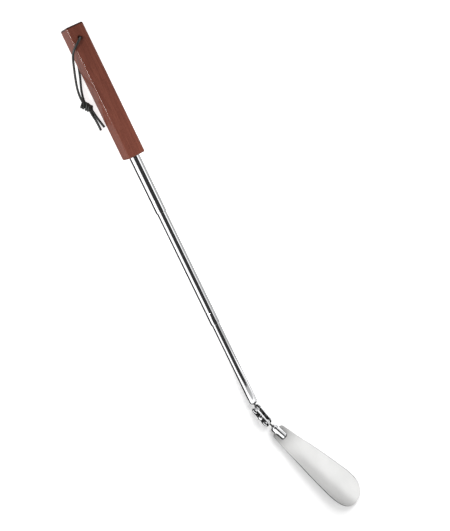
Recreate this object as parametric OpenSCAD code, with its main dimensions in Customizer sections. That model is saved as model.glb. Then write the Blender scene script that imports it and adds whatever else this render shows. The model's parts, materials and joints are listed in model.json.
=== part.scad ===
// Telescopic shoehorn: a square wooden handle with a cord loop, three nested tubes, a two-ball
// swivel link and a steel blade. It lies on a flat surface, blade cup upward, +X toward the blade.

/* [Handle] */
// Length of the wooden handle
handle_length = 165; // [150:1:180]
// Width of each side of the square handle
handle_width = 22.5; // [20:0.5:26]
// Rounding radius of the handle's edges
handle_edge = 2; // [1:0.25:3]
// Distance from the handle's rear end to the cord hole
cord_hole_x = 16; // [14:0.5:18]
// Diameter of the cord hole
cord_hole_d = 4.6; // [4:0.1:5]
// Depth of the chamfer around each mouth of the cord hole
cord_hole_chamfer = 1.2; // [0.4:0.1:1.6]
// Wood left between the handle's rear end and the tube bore
bore_floor = 34; // [30:1:40]

/* [Tubes] */
// Outer diameter of the fixed tube
tube_1_d = 13; // [12.8:0.1:13.6]
// Outer diameter of the middle tube
tube_2_d = 11.6; // [11.4:0.1:11.7]
// Outer diameter of the front tube
tube_3_d = 10.2; // [10:0.1:10.3]
// Wall thickness of the tubes
tube_wall = 0.35; // [0.3:0.05:0.35]
// Distance from the handle's rear end to the mouth of the fixed tube
tube_1_mouth = 239; // [230:1:245]
// Distance from the handle's rear end to the rear end of the middle tube
tube_2_rear = 184; // [180:1:190]
// Distance from the handle's rear end to the mouth of the middle tube
tube_2_mouth = 389.5; // [380:0.5:395]
// Distance from the handle's rear end to the rear end of the front tube
tube_3_rear = 304; // [300:1:310]
// Distance from the handle's rear end to the front end of the front tube
tube_3_front = 497.5; // [490:0.5:499]
// Distance of the pressed ring groove from the mouth of a tube
groove_inset = 17; // [14:0.5:20]
// Length of the sprung friction sleeves
sleeve_length = 11.6; // [8:0.2:12]

/* [Swivel link] */
// Diameter of the two balls
ball_d = 7; // [6.8:0.1:7.2]
// Distance between the centres of the two balls
ball_spacing = 20.5; // [19:0.5:22]
// Diameter of the thin neck behind each ball
neck_d = 2.4; // [2.2:0.1:2.6]
// Width of the link plates
plate_width = 9.5; // [9:0.1:10]
// Thickness of each link plate
plate_thickness = 1.8; // [1.6:0.1:2]
// Gap between the two link plates
plate_gap = 4.8; // [4.7:0.1:5]
// Diameter of the clamp screw's shank
screw_d = 2.9; // [2.5:0.1:3.1]
// Diameter of the clamp screw's head
screw_head_d = 5.2; // [4.8:0.1:5.6]
// Height of the clamp screw's head
screw_head_h = 3.6; // [2.4:0.1:4]

/* [Blade] */
// Length of the ferrule that holds the blade
ferrule_length = 21; // [19:0.5:22]
// Diameter of the ferrule
ferrule_d = 10; // [9.6:0.1:10.4]
// Length of the blade in front of the ferrule
blade_length = 135; // [120:1:140]
// Greatest width of the blade
blade_width = 40; // [34:0.5:42]
// Width of the blade where it leaves the ferrule
blade_heel_width = 20.8; // [18:0.2:24]
// Thickness of the blade's sheet
blade_thickness = 1.2; // [1:0.1:1.4]
// Radius of the cup across the blade
cup_radius = 25; // [23:0.5:32]
// Depth of the bow along the blade
blade_bow = 1.6; // [0.8:0.1:1.6]

/* [Cord] */
// Diameter of the leather cord
cord_d = 2.8; // [2.4:0.1:3]

/* [Pose] */
// Height of the first ball's centre above the surface
ball_height = 6.1; // [6.1:0.1:9]
// Fall of the shaft toward the blade, in degrees
shaft_tilt = 1.1; // [1.1:0.05:1.3]
// Turn of the link away from the shaft, in degrees
link_yaw = 13.5; // [10:0.5:16]
// Roll of the clamp screw away from the vertical, in degrees
link_roll = 65; // [60:1:70]
// Turn of the blade away from the shaft, in degrees
blade_yaw = 22.2; // [18:0.1:26]
// Fall of the blade toward its tip, in degrees
blade_pitch = 1.3; // [0.6:0.1:1.3]

/* [Hidden] */

wood = [0.46, 0.24, 0.2];
chrome = [0.82, 0.83, 0.85];
steel = [0.88, 0.88, 0.87];
brass = [0.8, 0.66, 0.35];
nylon = [0.92, 0.91, 0.86];
leather = [0.16, 0.17, 0.16];

$fn = 48;
big = 100;
small = 0.01;

ball_x = 508;
half = handle_width / 2;
ball_r = ball_d / 2;
neck_r = neck_d / 2;
r1 = tube_1_d / 2;
r2 = tube_2_d / 2;
r3 = tube_3_d / 2;
slide_gap = 0.05;
glue_gap = 0.02;
groove_depth = 0.15;
groove_flank = 0.5;
mouth_roll = 1.2;
bush_wall_gap = 0.05;
bush_inset = 1.5;
sleeve_seat = 0.35;
sleeve_lip = 0.8;
sleeve_slit = 1.2;
seat_gap = 0.05;

ferrule_x = 10;
ferrule_front = ferrule_x + ferrule_length;
blade_reach = ferrule_front + blade_length;
tip_r = blade_width / 2;

// The whole model is moved so that its footprint, without the cord, is centred on the origin.
footprint_x = (ball_x + ball_spacing * cos(link_yaw) + blade_reach * cos(blade_yaw)) / 2;
footprint_y = (ball_spacing * sin(link_yaw) + (blade_reach - tip_r) * sin(blade_yaw) + tip_r
    - half) / 2;

// ---- frames -------------------------------------------------------------------------------

module footprint_frame() translate([-footprint_x, -footprint_y, 0]) children();

// x runs along the shaft from the handle's rear end
module shaft_frame()
    footprint_frame()
        translate([ball_x, 0, ball_height])
            rotate([0, shaft_tilt, 0])
                translate([-ball_x, 0, 0]) children();

// Origin at the first ball, x toward the second, z along the clamp screw
module link_frame()
    footprint_frame()
        translate([ball_x, 0, ball_height])
            rotate([0, 0, link_yaw]) rotate([link_roll, 0, 0]) children();

// Origin at the second ball, x along the blade
module blade_frame()
    footprint_frame()
        translate([ball_x, 0, ball_height])
            rotate([0, 0, link_yaw]) translate([ball_spacing, 0, 0]) rotate([0, 0, -link_yaw])
                rotate([0, 0, blade_yaw]) rotate([0, blade_pitch, 0]) children();

// Turns z-axis solids so that they run along x
module along_x() rotate([0, 90, 0]) children();

// Cylinder along x from x0 to x1
module rod(x0, x1, r) translate([x0, 0, 0]) along_x() cylinder(h = x1 - x0, r = r);

// ---- handle -------------------------------------------------------------------------------

// Rectangle with round corners, made of exact arcs
module round_rectangle(length, width, r) {
    translate([r, 0]) square([length - 2 * r, width]);
    translate([0, r]) square([length, width - 2 * r]);
    for (x = [r, length - r], y = [r, width - r]) translate([x, y]) circle(r = r);
}

module handle_block() {
    intersection() {
        translate([0, -half, -half]) linear_extrude(handle_width)
            round_rectangle(handle_length, handle_width, handle_edge);
        translate([0, half, -half]) rotate([90, 0, 0]) linear_extrude(handle_width)
            round_rectangle(handle_length, handle_width, handle_edge);
        rotate([90, 0, 90]) linear_extrude(handle_length)
            translate([-half, -half]) round_rectangle(handle_width, handle_width, handle_edge);
    }
}

module cord_hole_cut() {
    mouth_r = cord_hole_d / 2 + cord_hole_chamfer;
    translate([cord_hole_x, 0, 0]) {
        cylinder(h = big, d = cord_hole_d, center = true);
        for (side = [0, 180]) rotate([side, 0, 0]) translate([0, 0, half - cord_hole_chamfer])
            cylinder(h = cord_hole_chamfer + small, r1 = cord_hole_d / 2, r2 = mouth_r + small);
    }
}

module handle() {
    color(wood) shaft_frame() difference() {
        handle_block();
        cord_hole_cut();
        rod(bore_floor, handle_length + 1, r1 + glue_gap);
    }
}

// ---- tubes --------------------------------------------------------------------------------

// Outer or inner line of a tube, from its rear to its mouth, with one pressed ring groove
function groove_line(r, mouth) = let (g = mouth - groove_inset) [
    [r, g - 2 * groove_flank],
    [r - groove_depth, g - groove_flank / 2],
    [r - groove_depth, g + groove_flank / 2],
    [r, g + 2 * groove_flank]
];

// Line of a tube's rear end, necked down for a friction sleeve between a lip and a shoulder
function neck_line(r, rear) = [
    [r, rear],
    [r, rear + sleeve_lip - 0.2],
    [r - sleeve_seat, rear + sleeve_lip],
    [r - sleeve_seat, rear + sleeve_lip + sleeve_length + 0.2],
    [r, rear + sleeve_lip + sleeve_length + 0.6]
];

function reversed(list) = [for (i = [len(list) - 1:-1:0]) list[i]];

// Tube turned from an outer line and the same line one wall further in
module turned_tube(line, end_roll) {
    last = line[len(line) - 1];
    inner = [for (p = reversed(line)) [p[0] - tube_wall, p[1]]];
    rim = [[last[0] - end_roll, last[1] + mouth_roll],
        [last[0] - tube_wall - end_roll / 2, last[1] + mouth_roll]];
    along_x() rotate_extrude($fn = 96) polygon(concat(line, rim, inner));
}

module tube_1() {
    line = concat([[r1, bore_floor]], groove_line(r1, tube_1_mouth),
        [[r1, tube_1_mouth - mouth_roll]]);
    color(chrome) shaft_frame() turned_tube(line, 0.3);
}

module tube_2() {
    line = concat(neck_line(r2, tube_2_rear), groove_line(r2, tube_2_mouth),
        [[r2, tube_2_mouth - mouth_roll]]);
    color(chrome) shaft_frame() turned_tube(line, 0.3);
}

// Front tube, with four crimp dimples that hold the stud
module tube_3() {
    crimp_x = tube_3_front - 7;
    crimp_r = 0.8;
    crimp_depth = 0.25;
    first_crimp = 20;
    line = concat(neck_line(r3, tube_3_rear), [[r3, tube_3_front - mouth_roll]]);
    color(chrome) shaft_frame() difference() {
        turned_tube(line, 0.2);
        for (i = [0:3]) rotate([first_crimp + 90 * i, 0, 0])
            translate([crimp_x, 0, r3 + crimp_r - crimp_depth]) sphere(r = crimp_r);
    }
}

// Guide bush held between a tube's ring groove and its rolled mouth
module guide_bush(outer_tube_r, inner_tube_r, mouth) {
    x0 = mouth - groove_inset + 2 * groove_flank + 0.2;
    x1 = mouth - bush_inset;
    color(nylon) shaft_frame() difference() {
        rod(x0, x1, outer_tube_r - tube_wall - small);
        rod(x0 - 1, x1 + 1, inner_tube_r + bush_wall_gap);
    }
}

module guide_bush_1() { guide_bush(r1, r2, tube_1_mouth); }
module guide_bush_2() { guide_bush(r2, r3, tube_2_mouth); }

// Split spring sleeve that grips the bore of the outer tube
module friction_sleeve(outer_tube_r, inner_tube_r, rear) {
    x0 = rear + sleeve_lip + 0.1;
    x1 = x0 + sleeve_length - 0.2;
    color(brass) shaft_frame() difference() {
        rod(x0, x1, outer_tube_r - tube_wall - slide_gap);
        rod(x0 - 1, x1 + 1, inner_tube_r - sleeve_seat + glue_gap);
        translate([x0 - 1, -sleeve_slit / 2, 0]) cube([x1 - x0 + 2, sleeve_slit, big]);
    }
}

module friction_sleeve_2() { friction_sleeve(r1, r2, tube_2_rear); }
module friction_sleeve_3() { friction_sleeve(r2, r3, tube_3_rear); }

// Stud turned from its half outline, with a ball at x, whose seam stays clear of the neck
module ball_stud(line, x) {
    along_x() rotate_extrude($fn = 96) polygon(line);
    translate([x, 0, 0]) rotate([0, 0, 90]) sphere(r = ball_r, $fn = 96);
}

// Stud pressed into the front tube: plug, domed shoulder, neck and ball
module upper_stud() {
    plug_length = 15;
    plug_r = r3 - tube_wall - small;
    dome_x = tube_3_front - 0.4;
    dome_length = 3;
    dome_steps = 8;
    dome = [for (i = [0:dome_steps]) let (a = 90 * i / dome_steps)
        [neck_r + (plug_r - 0.15 - neck_r) * cos(a), dome_x + dome_length * sin(a)]];
    line = concat([[0, tube_3_front - plug_length], [plug_r, tube_3_front - plug_length],
        [plug_r, tube_3_front - mouth_roll]], dome, [[neck_r, ball_x], [0, ball_x]]);
    color(chrome) shaft_frame() ball_stud(line, ball_x);
}

// ---- swivel link --------------------------------------------------------------------------

inner_face = plate_gap / 2;
outer_face = inner_face + plate_thickness;
middle = ball_spacing / 2;
eye_d = 5;
screw_gap = 0.05;
washer_h = 0.6;
nut_h = 2;

// Plate with round ends, its two ball seats and its screw hole, lying from z0 upward
module plate(z0) {
    difference() {
        translate([0, 0, z0]) union() {
            translate([0, -plate_width / 2, 0]) cube([ball_spacing, plate_width, plate_thickness]);
            for (x = [0, ball_spacing]) translate([x, 0, 0])
                cylinder(h = plate_thickness, d = plate_width, $fn = 96);
        }
        for (x = [0, ball_spacing]) translate([x, 0, 0]) {
            sphere(r = ball_r + seat_gap, $fn = 96);
            cylinder(h = big, d = eye_d, center = true);
        }
        translate([middle, 0, 0]) cylinder(h = big, r = screw_d / 2 + screw_gap, center = true);
    }
}

module near_plate() { color(chrome) link_frame() plate(inner_face); }
module far_plate() { color(chrome) link_frame() plate(-outer_face); }

module clamp_screw() {
    slot_width = 0.8;
    slot_depth = 1;
    dome_r = 3.4;
    tail = washer_h + nut_h + 0.5;
    color(chrome) link_frame() translate([middle, 0, 0]) {
        translate([0, 0, -outer_face - tail])
            cylinder(h = 2 * outer_face + tail, d = screw_d);
        difference() {
            intersection() {
                translate([0, 0, outer_face]) cylinder(h = screw_head_h, d = screw_head_d);
                translate([0, 0, outer_face + screw_head_h - dome_r])
                    sphere(r = dome_r, $fn = 96);
            }
            translate([0, 0, outer_face + screw_head_h])
                cube([big, slot_width, 2 * slot_depth], center = true);
        }
    }
}

module lock_washer() {
    washer_d = 5.8;
    split = 0.7;
    color(chrome) link_frame() translate([middle, 0, -outer_face - washer_h]) difference() {
        cylinder(h = washer_h, d = washer_d);
        translate([0, 0, -1]) cylinder(h = washer_h + 2, r = screw_d / 2 + screw_gap);
        translate([0, -split / 2, -1]) cube([big, split, washer_h + 2]);
    }
}

module clamp_nut() {
    nut_across_corners = 5.8;
    color(chrome) link_frame() translate([middle, 0, -outer_face - washer_h - nut_h])
        difference() {
            cylinder(h = nut_h, d = nut_across_corners, $fn = 6);
            translate([0, 0, -1]) cylinder(h = nut_h + 2, r = screw_d / 2 + glue_gap);
        }
}

// ---- blade --------------------------------------------------------------------------------

shank_r = 1.6;
shank_end = ferrule_x + 5.5;
slot_x = ferrule_x + 7.5;
blade_top = -0.4;

// Stud that the ferrule turns on
module lower_stud() {
    shank_start = ferrule_x + 0.3;
    line = [[0, 0], [neck_r, 0], [neck_r, shank_start], [shank_r, shank_start],
        [shank_r, shank_end], [0, shank_end]];
    color(chrome) blade_frame() ball_stud(line, 0);
}

module ferrule() {
    dome_r = 5.6;
    dome_x = ferrule_x + 5.2;
    color(chrome) blade_frame() difference() {
        union() {
            intersection() {
                translate([dome_x, 0, 0]) sphere(r = dome_r, $fn = 96);
                rod(ferrule_x, dome_x, ferrule_d / 2);
            }
            rod(dome_x, ferrule_front, ferrule_d / 2);
        }
        rod(ferrule_x - 1, shank_end + 0.5, shank_r + slide_gap);
        translate([slot_x, -big / 2, blade_top - blade_thickness])
            cube([big, big, blade_thickness]);
    }
}

heel_x = slot_x + 0.1 - ferrule_front;
heel_corner = 3;
widest_x = 98;
widest_w = blade_width / 2;
tip_power = 2.3;
flare_power = 1.3;
tip_w = 0.4;
cup_start = 1;
cup_end = 40;
blade_rows = 20;
tip_rows = 14;
heel_rows = 4;
across = 16;

// Half width of the blade at x, measured from the front of the ferrule
function flare(x) = widest_w - (widest_w - blade_heel_width / 2)
    * pow(max(0, 1 - x / widest_x), flare_power);
function heel_cut(x) = let (d = max(0, heel_corner - (x - heel_x)))
    heel_corner - sqrt(max(0, heel_corner * heel_corner - d * d));
function tip_share(x) = pow(min(1, (x - widest_x) / (blade_length - widest_x)), tip_power);
function half_width(x) = x < widest_x
    ? flare(x) - heel_cut(x)
    : max(tip_w, widest_w * pow(1 - tip_share(x), 1 / tip_power));

// Curvature across the blade, flat in the ferrule and growing smoothly in front of it
function ease(s) = s * s * (3 - 2 * s);
function cup(x) = ease(min(1, max(0, (x - cup_start) / (cup_end - cup_start)))) / cup_radius;
function spine(x) = blade_top - blade_bow * sin(155 * max(0, x) / blade_length);

function top_point(x, y) = [x, y, spine(x) + cup(x) * y * y / 2];
function under_point(x, y) = let (slope = cup(x) * y, n = sqrt(1 + slope * slope))
    top_point(x, y) + blade_thickness / n * [0, slope, -1];

blade_stations = concat(
    [for (i = [0:heel_rows - 1]) heel_x + heel_corner * (1 - cos(90 * i / heel_rows))],
    [for (i = [0:blade_rows - 1]) heel_x + heel_corner
        + (widest_x - heel_x - heel_corner) * i / blade_rows],
    [for (i = [0:tip_rows]) widest_x + (blade_length - widest_x) * sin(90 * i / tip_rows)]
);

// The sheet is a closed skin: rows along x, each going over the cup and back underneath
module blade_sheet() {
    rows = len(blade_stations);
    ring = 2 * (across + 1);
    points = [for (x = blade_stations, j = [0:ring - 1])
        let (w = half_width(x),
            under = j > across,
            k = under ? ring - 1 - j : j,
            y = w * (2 * k / across - 1))
        under ? under_point(x, y) : top_point(x, y)];
    sides = [for (i = [0:rows - 2], j = [0:ring - 1]) let (k = (j + 1) % ring)
        [i * ring + j, i * ring + k, (i + 1) * ring + k, (i + 1) * ring + j]];
    heel_cap = [for (j = [0:across - 1])
        [j, ring - 1 - j, ring - 2 - j, j + 1]];
    tip_base = (rows - 1) * ring;
    tip_cap = [for (j = [0:across - 1])
        [tip_base + j, tip_base + j + 1, tip_base + ring - 2 - j, tip_base + ring - 1 - j]];
    polyhedron(points = points, faces = concat(sides, heel_cap, tip_cap), convexity = 6);
}

module blade() {
    color(steel) blade_frame() translate([ferrule_front, 0, 0]) blade_sheet();
}

// ---- cord ---------------------------------------------------------------------------------

cord_r = cord_d / 2;
cord_sides = 8;

// Routes of the cord's strands, from the middle of the hole to the knot
front_route = [[16.1, 0, 16], [16.15, 0, 21], [16.2, 0, 25.6], [16.9, -1.2, 28.6],
    [18.6, -3.9, 30.3], [20.9, -7.2, 30.7], [23.4, -10.4, 29.8], [26.2, -13.6, 28],
    [30.6, -16.6, 25.2], [36.6, -18.7, 22.3], [43.4, -20.3, 19.3], [50.4, -21.9, 16.4],
    [57.4, -23.4, 13.6], [64.4, -24.7, 11], [71.4, -25.5, 8.8], [78, -25.5, 7], [84, -24.7, 5.8],
    [88.5, -23.6, 5.2]];
back_route = [[16.1, 0, 16], [16, 0, 11.4], [16, 0, 7.4], [16.8, -0.2, 4.6], [18.8, -0.8, 2.5],
    [21.8, -1.7, 1.6], [28, -3.6, 1.45], [35, -5.7, 1.45], [42, -7.9, 1.45], [49, -10.2, 1.45],
    [56, -12.7, 1.45], [63, -15.6, 1.45], [70, -18.4, 1.6], [77, -20.6, 2.1], [83, -21.8, 2.9],
    [88.5, -22.4, 3.6]];
tail_routes = [
    [[96, -18.7, 4.2], [101, -17.3, 2.8], [105.4, -16.4, 1.8], [109.8, -15.4, 1.45],
        [114.8, -14.4, 1.45], [119.9, -13.2, 1.45]],
    [[95.4, -21, 3.8], [100.4, -20.2, 2.6], [104.6, -19.5, 1.7], [108.8, -18.9, 1.45],
        [115, -18.7, 1.45], [121.5, -18.8, 1.45]]
];

function unit(v) = v / norm(v);
function heading(route, i) = unit(route[min(i + 1, len(route) - 1)] - route[max(i - 1, 0)]);

// First ring direction, then each ring's direction carried along so that the tube doesn't twist
function carried(previous, tangent) = unit(previous - (previous * tangent) * tangent);
function ring_sides(route, i = 0, previous = [0.3, 1, 0.2]) = i >= len(route) ? [] :
    let (s = carried(previous, heading(route, i))) concat([s], ring_sides(route, i + 1, s));

module cord_tube(route) {
    sides = ring_sides(route);
    n = cord_sides;
    last = len(route) - 1;
    points = [for (i = [0:last], k = [0:n - 1])
        let (t = heading(route, i), u = sides[i], v = cross(t, u), a = 360 * (k + 0.5) / n)
        route[i] + cord_r * (cos(a) * u + sin(a) * v)];
    skin = [for (i = [0:last - 1], k = [0:n - 1]) let (m = (k + 1) % n)
        [i * n + k, (i + 1) * n + k, (i + 1) * n + m, i * n + m]];
    rear_cap = [[for (k = [0:n - 1]) k]];
    front_cap = [[for (k = [n - 1:-1:0]) last * n + k]];
    polyhedron(points = points, faces = concat(skin, rear_cap, front_cap), convexity = 6);
}

module cord_front_strand() { color(leather) footprint_frame() cord_tube(front_route); }
module cord_back_strand() { color(leather) footprint_frame() cord_tube(back_route); }

module cord_knot() {
    lobes = [[86.2, -26, 4.4], [90.1, -22.6, 4.5], [94.2, -19.2, 4.3]];
    lobe_r = 4.2;
    color(leather) footprint_frame() hull()
        for (p = lobes) translate(p) sphere(r = lobe_r, $fn = 24);
}

module cord_tails() {
    color(leather) footprint_frame() union() {
        for (route = tail_routes) cord_tube(route);
    }
}

handle();
tube_1();
guide_bush_1();
friction_sleeve_2();
tube_2();
guide_bush_2();
friction_sleeve_3();
tube_3();
upper_stud();
near_plate();
far_plate();
clamp_screw();
lock_washer();
clamp_nut();
lower_stud();
ferrule();
blade();
cord_front_strand();
cord_back_strand();
cord_knot();
cord_tails();
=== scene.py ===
"""Looks of the long shoehorn: fine meshes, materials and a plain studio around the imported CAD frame.

Local shapes are in millimetres, in the frame of the part that they belong to; the scene is in metres.
"""

import json
import math

import bmesh
import bpy
from mathutils import Matrix, Vector


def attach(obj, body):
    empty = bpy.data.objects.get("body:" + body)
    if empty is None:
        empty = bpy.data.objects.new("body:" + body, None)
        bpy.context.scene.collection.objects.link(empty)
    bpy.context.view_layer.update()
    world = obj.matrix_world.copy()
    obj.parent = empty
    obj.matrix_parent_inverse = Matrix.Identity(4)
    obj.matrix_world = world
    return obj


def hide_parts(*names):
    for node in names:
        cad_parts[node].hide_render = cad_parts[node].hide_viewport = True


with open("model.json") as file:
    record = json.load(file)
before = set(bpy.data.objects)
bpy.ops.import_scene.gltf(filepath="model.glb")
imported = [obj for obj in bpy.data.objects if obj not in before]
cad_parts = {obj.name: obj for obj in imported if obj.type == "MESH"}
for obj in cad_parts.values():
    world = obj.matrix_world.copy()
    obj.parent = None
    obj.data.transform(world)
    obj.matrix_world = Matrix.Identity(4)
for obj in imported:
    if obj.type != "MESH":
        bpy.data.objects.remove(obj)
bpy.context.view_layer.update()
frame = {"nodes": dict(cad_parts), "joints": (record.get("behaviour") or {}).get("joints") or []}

MM = 0.001
JOINTS = {joint["name"]: joint for joint in frame["joints"]}
UP = Vector((0, 0, 1))


# ---- studio, in metres ----

# The floor glows, least around the middle of the blade's shadow
FLOOR_REACH = 6
FLOOR_DARK_TONE = 0.9
FLOOR_PALE_TONE = 0.915
FLOOR_GLOW = 0.66
SPOT_GLOW = 0.25
DARK_SPOT = (0.27, 0, 0)
SPOT_INNER = 0.1
SPOT_OUTER = 0.2

# The world is brighter in reflections than as a lamp
LAMP_STRENGTH = 0.6
MIRRORED_STRENGTH = 1.3

# Heights of the level cards, the walls' place and tops along x, and the fence's top
OVERHEAD = 0.1
OVER_FERRULE = 0.04
CARD_HEIGHT = 0.0004
WALL_Y = 0.25
SHAFT_WALL_TOPS = [(-0.35, 0.14), (0, 0.24), (0.19, 0.36)]
BLADE_WALL_TOPS = [(0.235, 0.36), (0.75, 0.36)]
FENCE_TOP = 0.013

# Edges of the overhead cards across the shaft, in degrees from upright
OVERHEAD_ANGLES = (-46, 27, 62)

# Brightness of the cards, where the world's is MIRRORED_STRENGTH
BLACK = 0.02
SOFT_BLACK = 0.03
DARK = 0.04
DARK_GREY = 0.3
GREY = 0.5
PALE_GREY = 0.8


# ---- sizes, in millimetres ----

# How far a cutter reaches past what it cuts, and a reach that is past any small part
PAST = 1
FAR = 9

HANDLE_LENGTH = 165
HANDLE_WIDTH = 22.5
HANDLE_EDGE = 2
CORD_HOLE_X = 16
CORD_HOLE_R = 2.3
CORD_HOLE_CHAMFER = 1.2
BORE_FLOOR = 34
BORE_R = 6.52
# How far from the rear end the handle darkens, with stained end grain on the face and painted shade on
# its bevel; then how far the end face reaches
END_STAIN_AND_SHADE = (1.5, 2.5)
END_FACE = (0.05, 0.4)

TUBE_1 = {"r": 6.5, "rear": 34, "mouth": 239, "end_roll": 0.3}
TUBE_2 = {"r": 5.8, "rear": 184, "mouth": 389.5, "end_roll": 0.3}
TUBE_3 = {"r": 5.1, "rear": 304, "mouth": 497.5, "end_roll": 0.2}
TUBE_WALL = 0.35
MOUTH_ROLL = 1.2
MOUTH_ROLL_R = 0.8
MOUTH_EDGE_R = 0.1
GROOVE_INSET = 17
GROOVE_DEPTH = 0.15
GROOVE_FLANK = 0.5
GROOVE_SHOULDER_R = 1.5
GROOVE_FLOOR_R = 0.3
SLEEVE_LENGTH = 11.6
SLEEVE_LIP = 0.8
SLEEVE_SEAT = 0.35
SEAT_FLANK = 0.2
SEAT_END = 0.6
CRIMP_INSET = 7
CRIMP_R = 0.8
CRIMP_DEPTH = 0.25
CRIMPS = 4
FIRST_CRIMP = 20
PLUG_LENGTH = 15
PLUG_EDGE_R = 0.5
PLUG_GAP = 0.01
PLUG_SHOULDER = 0.15
PLUG_RIM = 0.8
PLUG_INSET = 0.4
PLUG_DOME = 3
NECK_FOOT = 0.3

BALL_X = 508
BALL_R = 3.5
NECK_R = 1.2
BALL_SPACING = 20.5
PLATE_WIDTH = 9.5
PLATE_INNER = 2.4
PLATE_OUTER = 4.2
PLATE_BEVEL = 0.4
EYE_R = 2.5
SINK_WIDTH = 0.7
SINK_DEPTH = 0.4
SEAT_R = 3.55
SCREW_R = 1.45
SCREW_HOLE_R = 1.5
SCREW_TAIL = 0.5
SCREW_POINT = 0.4
POINT_INSET = 0.3
THREAD_PITCH = 0.5
THREAD_DEPTH = 0.14
HEAD_R = 2.6
HEAD_H = 3.6
HEAD_DOME_R = 3.4
HEAD_EDGE_R = 0.2
HEAD_SLOT_HALF = 0.4
HEAD_SLOT_DEPTH = 1
WASHER_R = 2.9
WASHER_H = 0.6
WASHER_INNER_EDGE_R = 0.1
WASHER_OUTER_EDGE_R = 0.15
WASHER_SPLIT_HALF = 0.35
NUT_R = 2.9
NUT_H = 2
NUT_BEVEL = 0.2
NUT_SINK = 0.3
NUT_GAP = 0.02

FERRULE_X = 10
FERRULE_FRONT = 31
FERRULE_R = 5
FERRULE_DOME_R = 5.6
FERRULE_DOME_X = 15.2
FERRULE_EDGE_R = 0.8
SLOT_X = 17.5
SHANK_R = 1.6
SHANK_INSET = 0.3
SHANK_END = 15.5
SHANK_EDGE_R = 0.3
SHANK_GAP = 0.05
SHANK_END_GAP = 0.5
# How far past the ball the painted shade on a stud's neck begins and becomes full
SHADED_PAST_BALL = (0.1, 0.5)
# Painted shade on the ferrule where the sheet meets it: how high beside the slot, how wide at the
# front edge, and how soft
SHADE_TOP = 3.4
SHADE_WIDTH = 1.5
SHADE_EDGE = 0.6
SLOT_FADE = 1.5

BLADE_LENGTH = 135
BLADE_HALF = 20
BLADE_HEEL_HALF = 10.4
BLADE_HEEL_X = -13.4
BLADE_HEEL_CORNER = 3
BLADE_WIDEST_X = 98
BLADE_THICKNESS = 1.2
BLADE_TOP = -0.4
BLADE_EDGE = 0.4
BLADE_BOW = 1.6
BOW_SWEEP = 155
TIP_POWER = 2.3
TIP_LEAST_HALF = 0.05
FLARE_POWER = 1.3
CUP_RADIUS = 25
CUP_START = 1
CUP_END = 40
CORNER_STEPS = 8
BODY_STEPS = 80
TIP_STEPS = 56
STEPS_ACROSS = 48
FENCE_GAP = 12
FENCE_STEP = 7
FENCE_TIP_POINTS = 25

CORD_R = 1.4

# Places of the cord in the part's own layout, whose origin is under the handle's rear end
FRONT_ROUTE = [
    (16.1, 0, 16), (16.15, 0, 21), (16.2, 0, 25.6), (16.9, -1.2, 28.6), (18.6, -3.9, 30.3),
    (20.9, -7.2, 30.7), (23.4, -10.4, 29.8), (26.2, -13.6, 28), (30.6, -16.6, 25.2),
    (36.6, -18.7, 22.3), (43.4, -20.3, 19.3), (50.4, -21.9, 16.4), (57.4, -23.4, 13.6),
    (64.4, -24.7, 11), (71.4, -25.5, 8.8), (78, -25.5, 7), (84, -24.7, 5.8), (88.5, -23.6, 5.2),
]
BACK_ROUTE = [
    (16.1, 0, 16), (16, 0, 11.4), (16, 0, 7.4), (16.8, -0.2, 4.6), (18.8, -0.8, 2.5),
    (21.8, -1.7, 1.6), (28, -3.6, 1.45), (35, -5.7, 1.45), (42, -7.9, 1.45), (49, -10.2, 1.45),
    (56, -12.7, 1.45), (63, -15.6, 1.45), (70, -18.4, 1.6), (77, -20.6, 2.1), (83, -21.8, 2.9),
    (88.5, -22.4, 3.6),
]
TAIL_ROUTES = [
    [(96, -18.7, 4.2), (101, -17.3, 2.8), (105.4, -16.4, 1.8), (109.8, -15.4, 1.45),
     (114.8, -14.4, 1.45), (119.9, -13.2, 1.45)],
    [(95.4, -21, 3.8), (100.4, -20.2, 2.6), (104.6, -19.5, 1.7), (108.8, -18.9, 1.45),
     (115, -18.7, 1.45), (121.5, -18.8, 1.45)],
]

# The knot lies around its own axis, its angles in degrees
KNOT_MIDDLE = (90.1, -22.6, 5.1)
KNOT_HEADING = (0.75, 0.66, -0.05)
KNOT_STEPS = 14
KNOT_START = 150
KNOT_SWEEP = 560
KNOT_REAR = -5.4
KNOT_LENGTH = 9.6
KNOT_R = 3.5
KNOT_SWELL = 0.5
KNOT_FLATNESS = 0.92
KNOT_SPACING = 1.35
KNOT_CORE_R = 2.6
KNOT_CORE_HALF = 5


# ---- frames ----

def frame_matrix(origin, x_axis, z_hint):
    """Matrix from local millimetres to the row frame."""
    x = x_axis.normalized()
    z = (z_hint - z_hint.dot(x) * x).normalized()
    y = z.cross(x)
    turn = Matrix((x, y, z)).transposed().to_4x4()
    return Matrix.Translation(origin) @ turn @ Matrix.Scale(MM, 4)


SHAFT = Vector(JOINTS["tube_2_slide"]["axis"])
SCREW = Vector(JOINTS["link_swing"]["axis"])
BLADE = Vector(JOINTS["blade_twist"]["axis"])
BALL_1 = Vector(JOINTS["link_swing"]["pos_m"])
BALL_2 = Vector(JOINTS["blade_swing"]["pos_m"])

SHAFT_FRAME = frame_matrix(BALL_1 - SHAFT.normalized() * BALL_X * MM, SHAFT, UP)
LINK_FRAME = frame_matrix(BALL_1, BALL_2 - BALL_1, SCREW)
BLADE_FRAME = frame_matrix(BALL_2, BLADE, UP)
LAYOUT_FRAME = Matrix.Translation((BALL_1.x - BALL_X * MM, BALL_1.y, 0)) @ Matrix.Scale(MM, 4)


# ---- camera ----

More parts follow.
